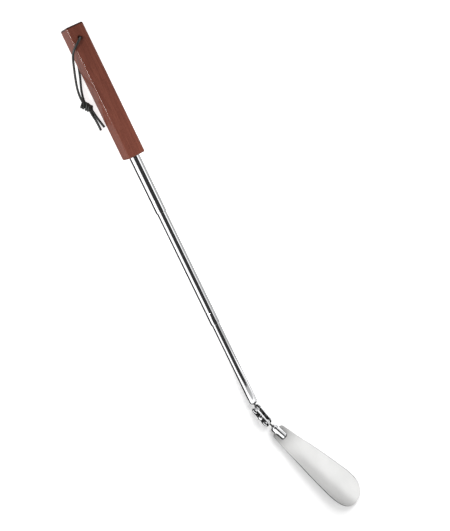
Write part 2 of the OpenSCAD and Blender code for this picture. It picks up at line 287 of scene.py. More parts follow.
def make_camera():
    """Long lens from above, rolled so that the shaft runs down the picture; angles in degrees."""
    azimuth = math.radians(-24.68)
    elevation = math.radians(66.76)
    roll = math.radians(86.88)
    distance = 1.5
    aim = BALL_1 + Vector((-0.1752, 0.0442, 0.0019))
    back = Vector((
        math.sin(azimuth) * math.cos(elevation),
        -math.cos(azimuth) * math.cos(elevation),
        math.sin(elevation),
    ))
    level = UP.cross(back).normalized()
    rise = back.cross(level)
    right = math.cos(roll) * level + math.sin(roll) * rise
    top = math.cos(roll) * rise - math.sin(roll) * level
    data = bpy.data.cameras.new("camera")
    data.lens = 84
    data.sensor_width = 36
    data.clip_start = 0.05
    data.clip_end = 50
    camera = bpy.data.objects.new("camera", data)
    camera.matrix_world = Matrix.Translation(aim + distance * back) @ Matrix(
        (right, top, back)).transposed().to_4x4()
    bpy.context.scene.collection.objects.link(camera)
    bpy.context.scene.camera = camera


# ---- shader nodes ----

def new_material(name):
    """A new material, its node tree and its shader."""
    material = bpy.data.materials.new(name)
    material.use_nodes = True
    tree = material.node_tree
    return material, tree, tree.nodes["Principled BSDF"]


def add_node(tree, kind, inputs=None, **settings):
    """A shader node with its settings, and its inputs set to values or linked to sockets."""
    node = tree.nodes.new("ShaderNode" + kind)
    for key, value in settings.items():
        setattr(node, key, value)
    for key, value in (inputs or {}).items():
        if isinstance(value, bpy.types.NodeSocket):
            tree.links.new(value, node.inputs[key])
        else:
            node.inputs[key].default_value = value
    return node


def object_place(tree):
    """Place of the surface in the row frame, in metres."""
    return add_node(tree, "TexCoord").outputs["Object"]


def math_node(tree, operation, *values):
    """Result of a Math node, each of its values a number or a socket."""
    node = tree.nodes.new("ShaderNodeMath")
    node.operation = operation
    for socket, value in zip(node.inputs, values):
        if isinstance(value, bpy.types.NodeSocket):
            tree.links.new(value, socket)
        else:
            socket.default_value = value
    return node.outputs[0]


def smooth_step(tree, value, start, end):
    """0 before start, 1 after end, smooth in between; it falls instead with start above end."""
    node = add_node(
        tree, "MapRange", {"Value": value, "From Min": start, "From Max": end},
        interpolation_type="SMOOTHSTEP")
    return node.outputs["Result"]


def blend(tree, mode, factor, first, second):
    """Mix of two colours, each of them and the factor a value or a socket."""
    node = tree.nodes.new("ShaderNodeMix")
    node.data_type = "RGBA"
    node.blend_type = mode
    pairs = ((node.inputs[0], factor), (node.inputs[6], first), (node.inputs[7], second))
    for socket, value in pairs:
        if isinstance(value, bpy.types.NodeSocket):
            tree.links.new(value, socket)
        elif socket == node.inputs[0]:
            socket.default_value = value
        else:
            socket.default_value = (*value, 1)
    return node.outputs[2]


# ---- world, floor, cards and lights ----

def make_world():
    """White studio: even and bright in reflections, softer as a lamp so that shadows keep tone."""
    world = bpy.data.worlds.new("studio")
    bpy.context.scene.world = world
    world.use_nodes = True
    tree = world.node_tree
    glossy = add_node(tree, "LightPath").outputs["Is Glossy Ray"]
    strength = add_node(tree, "MapRange", {
        "Value": glossy, "To Min": LAMP_STRENGTH, "To Max": MIRRORED_STRENGTH})
    background = tree.nodes["Background"]
    background.inputs["Color"].default_value = (1, 1, 1, 1)
    tree.links.new(strength.outputs["Result"], background.inputs["Strength"])


def make_matt_glow(shader):
    """Makes a shader matt and lets it glow white, as strongly as its caller sets."""
    shader.inputs["Roughness"].default_value = 1
    shader.inputs["Specular IOR Level"].default_value = 0
    shader.inputs["Emission Color"].default_value = (1, 1, 1, 1)


def make_floor():
    """Pale light table, which glows less around the blade, so that the blade's shadow shows."""
    mesh = bpy.data.meshes.new("floor")
    corners = [(x * FLOOR_REACH, y * FLOOR_REACH, 0)
               for x, y in ((-1, -1), (1, -1), (1, 1), (-1, 1))]
    mesh.from_pydata(corners, [], [(0, 1, 2, 3)])
    floor = bpy.data.objects.new("floor", mesh)
    material, tree, shader = new_material("pale_floor")
    make_matt_glow(shader)
    place = object_place(tree)
    mottle = add_node(tree, "TexNoise", {"Vector": place, "Scale": 3.0, "Detail": 3.0})
    tone = ramp(tree, mottle.outputs["Fac"], (0, [FLOOR_DARK_TONE] * 3), (1, [FLOOR_PALE_TONE] * 3))
    tree.links.new(tone, shader.inputs["Base Color"])
    away = add_node(tree, "VectorMath", {0: place, 1: DARK_SPOT}, operation="DISTANCE")
    table = smooth_step(tree, away.outputs["Value"], SPOT_INNER, SPOT_OUTER)
    glow = math_node(tree, "ADD", math_node(tree, "MULTIPLY", table, FLOOR_GLOW - SPOT_GLOW),
                     SPOT_GLOW)
    tree.links.new(glow, shader.inputs["Emission Strength"])
    mesh.materials.append(material)
    bpy.context.scene.collection.objects.link(floor)


def make_card(name, corners, shade):
    """Card seen only in reflections, a strip whose corners come in pairs along it."""
    mesh = bpy.data.meshes.new(name)
    faces = [(i, i + 1, i + 3, i + 2) for i in range(0, len(corners) - 2, 2)]
    mesh.from_pydata([tuple(p) for p in corners], [], faces)
    card = bpy.data.objects.new(name, mesh)
    material, _, shader = new_material(name)
    make_matt_glow(shader)
    shader.inputs["Base Color"].default_value = (0, 0, 0, 1)
    shader.inputs["Emission Strength"].default_value = shade
    mesh.materials.append(material)
    card.visible_camera = False
    card.visible_diffuse = False
    card.visible_shadow = False
    bpy.context.scene.collection.objects.link(card)


def level_card(name, matrix, x_ends, y_ends, height, shade):
    """Level card between ends in a part's own x and y, in millimetres, at a height in metres."""
    corners = [matrix @ Vector((x, y, 0)) for y in y_ends for x in x_ends]
    make_card(name, [Vector((p.x, p.y, height)) for p in corners], shade)


def make_cards():
    """Cards that draw the dark and grey stripes on the chrome, the varnish and the blade."""
    front, back, side = [OVERHEAD / MM * math.tan(math.radians(a)) for a in OVERHEAD_ANGLES]
    shaft_start = HANDLE_LENGTH + 2
    shaft_end = TUBE_3["mouth"]
    thin_tube = TUBE_2["mouth"] + 22
    link_start = BALL_X - 14
    for name, matrix, x_ends, y_ends, height, shade in (
        ("dark_overhead_card", SHAFT_FRAME, (-400, thin_tube), (front, back), OVERHEAD, DARK),
        ("wide_overhead_card", SHAFT_FRAME, (thin_tube, shaft_end + 6), (front - 25, back + 10),
         OVERHEAD, DARK),
        ("grey_overhead_card", SHAFT_FRAME, (shaft_end + 6, shaft_end + 26), (front, side),
         OVERHEAD, GREY),
        ("dark_ferrule_card", BLADE_FRAME, (FERRULE_X - 18, FERRULE_FRONT + 20), (-9, 17),
         OVER_FERRULE, DARK),
        ("black_ferrule_card", BLADE_FRAME, (FERRULE_X - 14, FERRULE_X + 14), (-70, -5),
         CARD_HEIGHT, SOFT_BLACK),
        ("black_shaft_card", SHAFT_FRAME, (shaft_start, link_start), (-46, 2),
         CARD_HEIGHT, SOFT_BLACK),
        ("black_link_card", SHAFT_FRAME, (link_start, BALL_X + 40), (-32, -7), CARD_HEIGHT, BLACK),
        ("grey_shaft_card", SHAFT_FRAME, (shaft_start, BALL_X + 10), (4, 250), CARD_HEIGHT, GREY),
        ("grey_handle_card", SHAFT_FRAME, (-40, 110), (-60, -10), CARD_HEIGHT, GREY),
        ("dark_handle_card", SHAFT_FRAME, (110, shaft_start), (-60, -10), CARD_HEIGHT, DARK_GREY),
    ):
        level_card(name, matrix, x_ends, y_ends, height, shade)
    for name, tops, shade in (("grey_shaft_wall", SHAFT_WALL_TOPS, GREY),
                              ("grey_blade_wall", BLADE_WALL_TOPS, PALE_GREY)):
        make_card(name, [Vector((x, WALL_Y, z)) for x, top in tops for z in (0, top)], shade)
    make_blade_fence()


def make_blade_fence():
    """Low black card that follows the blade's rim at a distance, for the dark line along it."""
    rim = blade_outline()
    fence = []
    for i, point in enumerate(rim):
        along = (rim[min(i + 1, len(rim) - 1)] - rim[max(i - 1, 0)]).normalized()
        outward = Vector((along.y, -along.x, 0))
        foot = BLADE_FRAME @ (point + FENCE_GAP * outward)
        fence += [Vector((foot.x, foot.y, 0)), Vector((foot.x, foot.y, FENCE_TOP))]
    make_card("black_blade_card", fence, BLACK)


def make_area_light(name, place, aim, size, energy, spread):
    """Rectangular lamp at a place, facing the aim, its beam's spread in degrees."""
    data = bpy.data.lights.new(name, "AREA")
    data.shape = "RECTANGLE"
    data.size, data.size_y = size
    data.spread = math.radians(spread)
    data.energy = energy
    light = bpy.data.objects.new(name, data)
    light.location = place
    light.rotation_euler = (Vector(place) - Vector(aim)).to_track_quat("Z", "Y").to_euler()
    bpy.context.scene.collection.objects.link(light)
    return light


def make_lights():
    """Key light from the far side, kept out of reflections, and a fill on the handle's near side."""
    key = make_area_light("key", (-0.15, 0.25, 0.32), (0.28, 0, 0), (0.5, 0.42), 1.3, spread=110)
    key.visible_glossy = False
    make_area_light("fill", (-0.3, -1.5, 0.9), (-0.25, 0, 0), (0.3, 0.4), 0.41, spread=26)


# ---- meshes ----

def finish_piece(name, bm, matrix, body, material, replaced, sharp=35):
    """Puts a bmesh in local millimetres into the row frame as a piece that rides on its body."""
    bm.transform(matrix)
    bmesh.ops.recalc_face_normals(bm, faces=bm.faces)
    mesh = bpy.data.meshes.new(name)
    bm.to_mesh(mesh)
    bm.free()
    mesh.shade_smooth()
    mesh.set_sharp_from_angle(angle=math.radians(sharp))
    piece = bpy.data.objects.new(name, mesh)
    bpy.context.scene.collection.objects.link(piece)
    mesh.materials.append(material)
    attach(piece, body)
    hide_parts(*replaced)
    return piece


def fillet(outline, steps=6):
    """Outline of (x, r) or (x, r, corner radius) points, with each such corner made an arc."""
    rounded = []
    count = len(outline)
    for i, point in enumerate(outline):
        here = Vector(point[:2])
        radius = point[2] if len(point) > 2 else 0
        if not radius:
            rounded.append(here)
            continue
        to_last = (Vector(outline[i - 1][:2]) - here).normalized()
        to_next = (Vector(outline[(i + 1) % count][:2]) - here).normalized()
        half = to_last.angle(to_next) / 2
        reach = radius / math.tan(half)
        centre = here + (to_last + to_next).normalized() * radius / math.sin(half)
        first = here + to_last * reach - centre
        last = here + to_next * reach - centre
        turn = first.angle_signed(last)
        for k in range(steps + 1):
            angle = -turn * k / steps
            rounded.append(centre + Matrix.Rotation(angle, 2) @ first)
    return rounded


def arc(centre_x, centre_r, radius, start, end, steps):
    """Points (x, r) of an arc; angles in degrees from +x toward +r."""
    points = []
    for k in range(steps + 1):
        a = math.radians(start + (end - start) * k / steps)
        points.append((centre_x + radius * math.cos(a), centre_r + radius * math.sin(a)))
    return points


def lathe(outline, segments=96, closed=True):
    """Solid turned around x from (x, r) points; points on the axis become poles."""
    bm = bmesh.new()
    rings = []
    on_axis = 1e-6
    for x, r in outline:
        if r < on_axis:
            rings.append([bm.verts.new((x, 0, 0))] * segments)
            continue
        ring = []
        for k in range(segments):
            a = 2 * math.pi * k / segments
            ring.append(bm.verts.new((x, r * math.cos(a), r * math.sin(a))))
        rings.append(ring)
    pairs = list(zip(rings, rings[1:]))
    if closed:
        pairs.append((rings[-1], rings[0]))
    for first, second in pairs:
        for k in range(segments):
            m = (k + 1) % segments
            corners = [first[k], first[m], second[m], second[k]]
            unique = list(dict.fromkeys(corners))
            if len(unique) > 2:
                bm.faces.new(unique)
    return bm


def temporary(bm):
    """Object that holds a bmesh while modifiers work on it."""
    mesh = bpy.data.meshes.new("temporary")
    bmesh.ops.recalc_face_normals(bm, faces=bm.faces)
    bm.to_mesh(mesh)
    bm.free()
    thing = bpy.data.objects.new("temporary", mesh)
    bpy.context.scene.collection.objects.link(thing)
    return thing


def applied(thing):
    """Bmesh of a temporary object with its modifiers applied; the object itself goes."""
    shaped = thing.evaluated_get(bpy.context.evaluated_depsgraph_get()).to_mesh()
    result = bmesh.new()
    result.from_mesh(shaped)
    bpy.data.objects.remove(thing)
    return result


def cut(bm, *cutters):
    """bm less its cutters, each a bmesh in the same local millimetres."""
    body = temporary(bm)
    tools = [temporary(c) for c in cutters]
    for tool in tools:
        modifier = body.modifiers.new("cut", "BOOLEAN")
        modifier.operation = "DIFFERENCE"
        modifier.solver = "EXACT"
        modifier.object = tool
    result = applied(body)
    for tool in tools:
        bpy.data.objects.remove(tool)
    return result


def bevel_edges(bm, width, segments, least_angle=30):
    """Rounds every edge whose faces meet at more than least_angle degrees."""
    bm.normal_update()
    limit = math.radians(least_angle)
    edges = [e for e in bm.edges if e.is_manifold and e.calc_face_angle() > limit]
    bmesh.ops.bevel(bm, geom=edges, offset=width, segments=segments, profile=0.5, affect="EDGES")


def box(x0, x1, y0, y1, z0, z1):
    bm = bmesh.new()
    corners = [bm.verts.new((x, y, z)) for x in (x0, x1) for y in (y0, y1) for z in (z0, z1)]
    for face in ((0, 1, 3, 2), (4, 6, 7, 5), (0, 4, 5, 1), (2, 3, 7, 6), (0, 2, 6, 4), (1, 5, 7, 3)):
        bm.faces.new([corners[i] for i in face])
    return bm


def prism(rim, z0, z1):
    """Upright solid between two levels, from the (x, y) points of its outline."""
    bm = bmesh.new()
    low = [bm.verts.new((x, y, z0)) for x, y in rim]
    high = [bm.verts.new((x, y, z1)) for x, y in rim]
    bm.faces.new(list(reversed(low)))
    bm.faces.new(high)
    count = len(rim)
    for i in range(count):
        k = (i + 1) % count
        bm.faces.new((low[i], low[k], high[k], high[i]))
    return bm


def turned(bm, axis, degrees, place=(0, 0, 0)):
    """bm turned about an axis through the origin and then moved to a place."""
    bm.transform(Matrix.Translation(place) @ Matrix.Rotation(math.radians(degrees), 4, axis))
    return bm


def smooth_route(points, steps=8):
    """Catmull-Rom curve through the points."""
    points = [Vector(p) for p in points]
    ends = [2 * points[0] - points[1], *points, 2 * points[-1] - points[-2]]
    route = []
    for a, b, c, d in zip(ends, ends[1:], ends[2:], ends[3:]):
        for k in range(steps):
            t = k / steps
            route.append(0.5 * (
                2 * b + (c - a) * t + (2 * a - 5 * b + 4 * c - d) * t ** 2
                + (3 * b - a - 3 * c + d) * t ** 3))
    route.append(points[-1])
    return route


def sweep(bm, route, radius, sides=16):
    """Adds a tube with domed ends along the route to bm."""
    count = len(route)
    heading = [(route[min(i + 1, count - 1)] - route[max(i - 1, 0)]).normalized()
               for i in range(count)]
    side = heading[0].orthogonal().normalized()
    stations = []
    for place, ahead in zip(route, heading):
        side = (side - side.dot(ahead) * ahead).normalized()
        stations.append((place, ahead, side))
    rings = []
    dome = [0.35, 0.72, 0.94]
    first, last = stations[0], stations[-1]
    shells = [(first[0] - first[1] * radius * 0.5 * (1 - s), first, s) for s in dome]
    shells += [(station[0], station, 1) for station in stations]
    shells += [(last[0] + last[1] * radius * 0.5 * (1 - s), last, s) for s in reversed(dome)]
    for place, (_, ahead, u), share in shells:
        v = ahead.cross(u)
        ring = []
        for k in range(sides):
            a = 2 * math.pi * k / sides
            ring.append(bm.verts.new(place + radius * share * (math.cos(a) * u + math.sin(a) * v)))
        rings.append(ring)
    for one, two in zip(rings, rings[1:]):
        for k in range(sides):
            m = (k + 1) % sides
            bm.faces.new((one[k], one[m], two[m], two[k]))
    bm.faces.new(rings[0])
    bm.faces.new(rings[-1])


# ---- materials ----

def stretched_noise(tree, scale, detail=4.0, roughness=0.5, distortion=0.0):
    """Noise whose scale differs along x, y and z of the part, in features per metre."""
    mapping = add_node(tree, "Mapping", {"Vector": object_place(tree), "Scale": scale})
    return add_node(tree, "TexNoise", {
        "Vector": mapping.outputs["Vector"], "Scale": 1.0, "Detail": detail,
        "Roughness": roughness, "Distortion": distortion,
    }).outputs["Fac"]


def ramp(tree, value, *stops):
    """Colour ramp of (position, colour) stops."""
    node = add_node(tree, "ValToRGB", {"Fac": value})
    elements = node.color_ramp.elements
    while len(elements) < len(stops):
        elements.new(0.5)
    for element, (position, colour) in zip(elements, stops):
        element.position = position
        element.color = (*colour, 1)
    return node.outputs["Color"]


def spread(tree, value, low, high):
    """Number from low to high as a noise goes through the middle of its range."""
    return add_node(tree, "MapRange", {
        "Value": value, "From Min": 0.3, "From Max": 0.7, "To Min": low, "To Max": high,
    }).outputs["Result"]


def bump(tree, height, distance, strength, under=None):
    """Normal that follows a height, on top of another normal where one is given."""
    inputs = {"Height": height, "Distance": distance, "Strength": strength}
    if under is not None:
        inputs["Normal"] = under
    return add_node(tree, "Bump", inputs).outputs["Normal"]


def end_stain_and_shade(tree):
    """Darker rear end: the end grain's face takes more stain, and its bevel is darker still with
    painted shade.
    """
    along = add_node(tree, "SeparateXYZ", {"Vector": object_place(tree)}).outputs["X"]
    rear = SHAFT_FRAME.translation.x
    past_end, off_face = [smooth_step(tree, along, rear + start * MM, rear + end * MM)
                          for start, end in (END_STAIN_AND_SHADE, END_FACE)]
    face = (0.5, 0.42, 0.42)
    # Painted shade on the rear bevel, darker than the stained end face
    bevel = (0.17, 0.14, 0.14)
    return blend(tree, "MIX", past_end, blend(tree, "MIX", off_face, face, bevel), (1, 1, 1))


def mahogany():
    """Stained and varnished wood, grain along the shaft, with open pores."""
    material, tree, shader = new_material("mahogany")
    figure = stretched_noise(tree, (14, 160, 160), 5, 0.6, 0.6)
    streaks = stretched_noise(tree, (60, 1100, 1100), 4, 0.6, 0.3)
    pores = stretched_noise(tree, (420, 3600, 3600), 2, 0.5)
    stain = ramp(tree, figure, (0.25, (0.137, 0.040, 0.027)), (0.5, (0.173, 0.052, 0.034)),
                 (0.75, (0.213, 0.067, 0.044)))
    grain = ramp(tree, streaks, (0.3, (0.74, 0.7, 0.68)), (0.52, (1, 1, 1)),
                 (0.8, (1.12, 1.14, 1.16)))
    pits = ramp(tree, pores, (0.30, (0.42, 0.36, 0.34)), (0.42, (1, 1, 1)))
    stained = blend(tree, "MULTIPLY", 0.9, stain, grain)
    colour = blend(tree, "MULTIPLY", 0.75, stained, pits)
    # The rear end darkens: stained end grain on its face, painted shade on its bevel
    tree.links.new(blend(tree, "MULTIPLY", 1.0, colour, end_stain_and_shade(tree)),
                   shader.inputs["Base Color"])
    tree.links.new(spread(tree, streaks, 0.34, 0.46), shader.inputs["Roughness"])
    fine = bump(tree, pores, 0.00006, 0.5)
    tree.links.new(bump(tree, streaks, 0.00008, 0.4, fine), shader.inputs["Normal"])
    shader.inputs["Specular IOR Level"].default_value = 0.1
    shader.inputs["Coat Weight"].default_value = 0.35
    shader.inputs["Coat Roughness"].default_value = 0.07
    return material


def chrome(name, shade_reach):
    """Polished plate with faint wipe marks, with painted shade in crevices narrower than the given
    reach in metres.
    """
    material, tree, shader = new_material(name)
    cloud = stretched_noise(tree, (30, 90, 90), 3)
    wipes = stretched_noise(tree, (60, 2400, 2400), 3, 0.6)
    tone = ramp(tree, cloud, (0.35, (0.84, 0.845, 0.86)), (0.65, (0.89, 0.895, 0.905)))
    # Painted shade: the base colour goes dark where ambient occlusion finds nearby surfaces
    openness = add_node(tree, "AmbientOcclusion", {"Distance": shade_reach}, samples=8).outputs["AO"]
    painted_crevice_shade = ramp(tree, openness, (0.58, (0.07, 0.07, 0.07)), (0.88, (1, 1, 1)))
    tree.links.new(blend(tree, "MULTIPLY", 1.0, tone, painted_crevice_shade), shader.inputs["Base Color"])
    tree.links.new(spread(tree, wipes, 0.05, 0.09), shader.inputs["Roughness"])
    tree.links.new(bump(tree, wipes, 0.00001, 0.1), shader.inputs["Normal"])
    shader.inputs["Metallic"].default_value = 1
    return material


def darkened(material, build_mask):
    """Darkens the base colour with painted shade where the mask is above 0, down to a dark share of it
    where it is 1.
    """
    dark_share = 0.12
    tree = material.node_tree
    base = tree.nodes["Principled BSDF"].inputs["Base Color"]
    mask = build_mask(tree, object_place(tree))
    shade = ramp(tree, mask, (0, (1, 1, 1)), (1, [dark_share] * 3))
    tree.links.new(blend(tree, "MULTIPLY", 1.0, base.links[0].from_socket, shade), base)
    return material


def beyond_ball(matrix):
    """Mask of painted shade on a stud's neck and shank, around a ball at the matrix's origin."""
    start, end = [(BALL_R + past) * MM for past in SHADED_PAST_BALL]

    def build(tree, place):
        away = add_node(tree, "VectorMath", {0: place, 1: matrix.translation},
                        operation="DISTANCE")
        return smooth_step(tree, away.outputs["Value"], start, end)
    return build


def along_axis(tree, place, matrix, axis):
    """Distance of a place from the matrix's origin along one of its axes, in metres."""
    offset = add_node(tree, "VectorMath", {0: place, 1: matrix.translation}, operation="SUBTRACT")
    direction = matrix.to_3x3().col[axis].normalized()
    return add_node(tree, "VectorMath", {0: offset.outputs["Vector"], 1: direction},
                    operation="DOT_PRODUCT").outputs["Value"]


def painted_ferrule_shade(tree, place):
    """Mask of painted shade along the ferrule's front edge and along both sides of the sheet, where
    the two meet.
    """
    x = along_axis(tree, place, BLADE_FRAME, 0)
    z = along_axis(tree, place, BLADE_FRAME, 2)
    shade_start = FERRULE_FRONT - SHADE_WIDTH
    front = smooth_step(tree, x, (shade_start - SHADE_EDGE) * MM, shade_start * MM)
    slotted = smooth_step(tree, x, SLOT_X * MM, (SLOT_X + SLOT_FADE) * MM)
    low = smooth_step(tree, z, SHADE_TOP * MM, (SHADE_TOP - SHADE_EDGE) * MM)
    return math_node(tree, "MAXIMUM", front, math_node(tree, "MULTIPLY", slotted, low))


def blade_steel(name, shade=1.0):
    """Satin steel, brushed along the blade, as bright as its shade says."""
    material, tree, shader = new_material(name)
    brushed = stretched_noise(tree, (40, 2600, 2600), 4, 0.65)
    cloud = stretched_noise(tree, (25, 45, 45), 3)
    tone = ramp(tree, cloud, (0.3, [shade * c for c in (0.68, 0.68, 0.672)]),
                (0.7, [shade * c for c in (0.73, 0.728, 0.72)]))
    streak = ramp(tree, brushed, (0.3, (0.95, 0.95, 0.95)), (0.7, (1.03, 1.03, 1.03)))
    tree.links.new(blend(tree, "MULTIPLY", 0.8, tone, streak), shader.inputs["Base Color"])
    tree.links.new(spread(tree, brushed, 0.36, 0.48), shader.inputs["Roughness"])
    tree.links.new(bump(tree, brushed, 0.00002, 0.35), shader.inputs["Normal"])
    shader.inputs["Metallic"].default_value = 1
    return material


def leather():
    """Black waxed leather lace."""
    material, tree, shader = new_material("leather")
    crease = stretched_noise(tree, (900, 900, 900), 5, 0.65)
    cloud = stretched_noise(tree, (120, 120, 120), 3)
    tone = ramp(tree, crease, (0.3, (0.012, 0.013, 0.012)), (0.7, (0.034, 0.037, 0.034)))
    wear = ramp(tree, cloud, (0.3, (0.6, 0.6, 0.6)), (0.7, (1.3, 1.3, 1.3)))
    tree.links.new(blend(tree, "MULTIPLY", 0.3, tone, wear), shader.inputs["Base Color"])
    tree.links.new(spread(tree, crease, 0.38, 0.55), shader.inputs["Roughness"])
    tree.links.new(bump(tree, crease, 0.00015, 0.5), shader.inputs["Normal"])
    return material


def brass():
    """Rolled spring brass."""
    material, tree, shader = new_material("spring_brass")
    rolled = stretched_noise(tree, (200, 2400, 2400), 3, 0.6)
    tone = ramp(tree, rolled, (0.3, (0.68, 0.50, 0.22)), (0.7, (0.80, 0.62, 0.30)))
    tree.links.new(tone, shader.inputs["Base Color"])
    tree.links.new(spread(tree, rolled, 0.22, 0.36), shader.inputs["Roughness"])
    shader.inputs["Metallic"].default_value = 1
    return material


def nylon():
    """Natural nylon of the guide bushes."""
    material, tree, shader = new_material("bush_nylon")
    turned_marks = stretched_noise(tree, (3000, 300, 300), 3)
    tone = ramp(tree, turned_marks, (0.3, (0.78, 0.77, 0.71)), (0.7, (0.86, 0.85, 0.79)))
    tree.links.new(tone, shader.inputs["Base Color"])
    tree.links.new(spread(tree, turned_marks, 0.45, 0.6), shader.inputs["Roughness"])
    shader.inputs["Subsurface Weight"].default_value = 0.1
    return material


# ---- handle ----

def make_handle(wood):
    """Square bar with rounded edges, a cord hole with chamfered mouths, and the tube's bore."""
    half = HANDLE_WIDTH / 2
    block = box(0, HANDLE_LENGTH, -half, half, -half, half)
    bevel_edges(block, HANDLE_EDGE, 8)
    deep = half + PAST
    mouth = CORD_HOLE_R + CORD_HOLE_CHAMFER
    hole = lathe([
        (-deep, 0), (-deep, mouth + PAST), (-half, mouth), (CORD_HOLE_CHAMFER - half, CORD_HOLE_R),
        (half - CORD_HOLE_CHAMFER, CORD_HOLE_R), (half, mouth), (deep, mouth + PAST), (deep, 0),
    ], 64, closed=False)
    turned(hole, "Y", 90, (CORD_HOLE_X, 0, 0))
    bore = lathe([(BORE_FLOOR, 0), (BORE_FLOOR, BORE_R), (HANDLE_LENGTH + PAST, BORE_R),
                  (HANDLE_LENGTH + PAST, 0)], closed=False)
    bm = cut(block, hole, bore)
    piece = finish_piece("wood_handle", bm, SHAFT_FRAME, "handle_body", wood,
                         ["handle"], sharp=25)
    piece.modifiers.new("normals", "WEIGHTED_NORMAL").keep_sharp = True


# ---- tubes ----

def tube_outline(size, rear_line, groove):
    """Closed half section of a tube: outer line, rolled mouth and inner line."""
    r = size["r"]
    mouth = size["mouth"]
    line = list(rear_line)
    if groove:
        g = mouth - GROOVE_INSET
        line += [
            (g - 2 * GROOVE_FLANK, r, GROOVE_SHOULDER_R),
            (g - GROOVE_FLANK / 2, r - GROOVE_DEPTH, GROOVE_FLOOR_R),
            (g + GROOVE_FLANK / 2, r - GROOVE_DEPTH, GROOVE_FLOOR_R),
            (g + 2 * GROOVE_FLANK, r, GROOVE_SHOULDER_R),
        ]
    roll = size["end_roll"]
    outer = line + [(mouth - MOUTH_ROLL, r, MOUTH_ROLL_R), (mouth, r - roll, MOUTH_EDGE_R)]
    inner_end = [(mouth, r - TUBE_WALL - roll / 2, MOUTH_EDGE_R / 2),
                 (mouth - MOUTH_ROLL, r - TUBE_WALL)]
    inner = [(x, y - TUBE_WALL) for x, y, *_ in reversed(line)]
    return fillet(outer + inner_end + inner, steps=4)


def neck_line(size):
    """Rear end of a moving tube, necked down for its friction sleeve."""
    r = size["r"]
    seat = size["rear"] + SLEEVE_LIP
    return [
        (size["rear"], r), (seat - SEAT_FLANK, r), (seat, r - SLEEVE_SEAT),
        (seat + SLEEVE_LENGTH + SEAT_FLANK, r - SLEEVE_SEAT),
        (seat + SLEEVE_LENGTH + SEAT_END, r),
    ]


def crimp_cutters():
    """Balls that dent the front tube where it is crimped onto its plug."""
    cutters = []
    for i in range(CRIMPS):
        ball = bmesh.new()
        bmesh.ops.create_uvsphere(ball, u_segments=24, v_segments=16, radius=CRIMP_R)
        a = math.radians(FIRST_CRIMP + 360 / CRIMPS * i)
        reach = TUBE_3["r"] + CRIMP_R - CRIMP_DEPTH
        place = (TUBE_3["mouth"] - CRIMP_INSET, -reach * math.sin(a), reach * math.cos(a))
        ball.transform(Matrix.Translation(place))
        cutters.append(ball)
    return cutters


def make_tubes(plate):
    """The fixed, the middle and the front tube."""
    fixed = lathe(tube_outline(TUBE_1, [(TUBE_1["rear"], TUBE_1["r"])], True))
    finish_piece("chrome_tube_1", fixed, SHAFT_FRAME, "handle_body", plate, ["tube_1"])
    middle = lathe(tube_outline(TUBE_2, neck_line(TUBE_2), True))
    finish_piece("chrome_tube_2", middle, SHAFT_FRAME, "tube_2_body", plate, ["tube_2"])
    front = cut(lathe(tube_outline(TUBE_3, neck_line(TUBE_3), False)), *crimp_cutters())
    finish_piece("chrome_tube_3", front, SHAFT_FRAME, "tube_3_body", plate, ["tube_3"])


def make_upper_stud(plate):
    """Plug in the front tube's end, with a domed shoulder, a neck and the first ball."""
    plug_r = TUBE_3["r"] - TUBE_WALL - PLUG_GAP
    dome_x = TUBE_3["mouth"] - PLUG_INSET
    dome_r = plug_r - PLUG_SHOULDER
    rear = TUBE_3["mouth"] - PLUG_LENGTH
    dome = [(dome_x + PLUG_DOME * math.sin(a), NECK_R + (dome_r - NECK_R) * math.cos(a))
            for a in [math.pi / 2 * k / 10 for k in range(10)]]
    neck_end = BALL_X - math.sqrt(BALL_R ** 2 - NECK_R ** 2)
    ball = arc(BALL_X, 0, BALL_R, 180 - math.degrees(math.asin(NECK_R / BALL_R)), 0, 24)
    outline = fillet([
        (rear, 0), (rear, plug_r, PLUG_EDGE_R), (dome_x - PLUG_RIM, plug_r), *dome,
        (dome_x + PLUG_DOME, NECK_R), (neck_end - NECK_FOOT, NECK_R)], 4) + ball[1:]
    outline[-1] = (outline[-1][0], 0)
    stud = lathe(outline, closed=False)
    finish_piece("turned_upper_stud", stud, SHAFT_FRAME, "tube_3_body", plate,
                 ["upper_stud"])


# ---- swivel link ----

def stadium(z0, z1, steps=32):
    """Plate with round ends around both balls."""
    r = PLATE_WIDTH / 2
    rim = []
    for x, start in ((BALL_SPACING, -90), (0, 90)):
        for k in range(steps + 1):
            a = math.radians(start + 180 * k / steps)
            rim.append((x + r * math.cos(a), r * math.sin(a)))
    return prism(rim, z0, z1)


def upright(outline, x, segments=64):
    """Solid turned around the link's z axis at x, from (z, r) points."""
    return turned(lathe(outline, segments, closed=False), "Y", -90, (x, 0, 0))


def make_plate(name, z0, z1, plate_material, node):
    """One plate of the link, with a ball seat and a countersunk eye at each end."""
    plate = stadium(z0, z1)
    bevel_edges(plate, PLATE_BEVEL, 4)
    edge_z = math.sqrt(SEAT_R ** 2 - EYE_R ** 2)
    angle = math.degrees(math.asin(EYE_R / SEAT_R))
    past_sink = PLATE_OUTER + SINK_DEPTH
    seat = [(-past_sink, 0), (-past_sink, EYE_R + 2 * SINK_WIDTH),
            (-PLATE_OUTER, EYE_R + SINK_WIDTH), (-PLATE_OUTER + SINK_DEPTH, EYE_R),
            (-edge_z, EYE_R), *arc(0, 0, SEAT_R, 180 - angle, angle, 32)[1:-1],
            (edge_z, EYE_R), (PLATE_OUTER - SINK_DEPTH, EYE_R),
            (PLATE_OUTER, EYE_R + SINK_WIDTH), (past_sink, EYE_R + 2 * SINK_WIDTH),
            (past_sink, 0)]
    cutters = [upright(seat, x) for x in (0, BALL_SPACING)]
    past_plate = PLATE_OUTER + PAST
    hole = [(-past_plate, 0), (-past_plate, SCREW_HOLE_R), (past_plate, SCREW_HOLE_R),
            (past_plate, 0)]
    cutters.append(upright(hole, BALL_SPACING / 2))
    finish_piece(name, cut(plate, *cutters), LINK_FRAME, "link_body", plate_material,
                 [node], sharp=28)


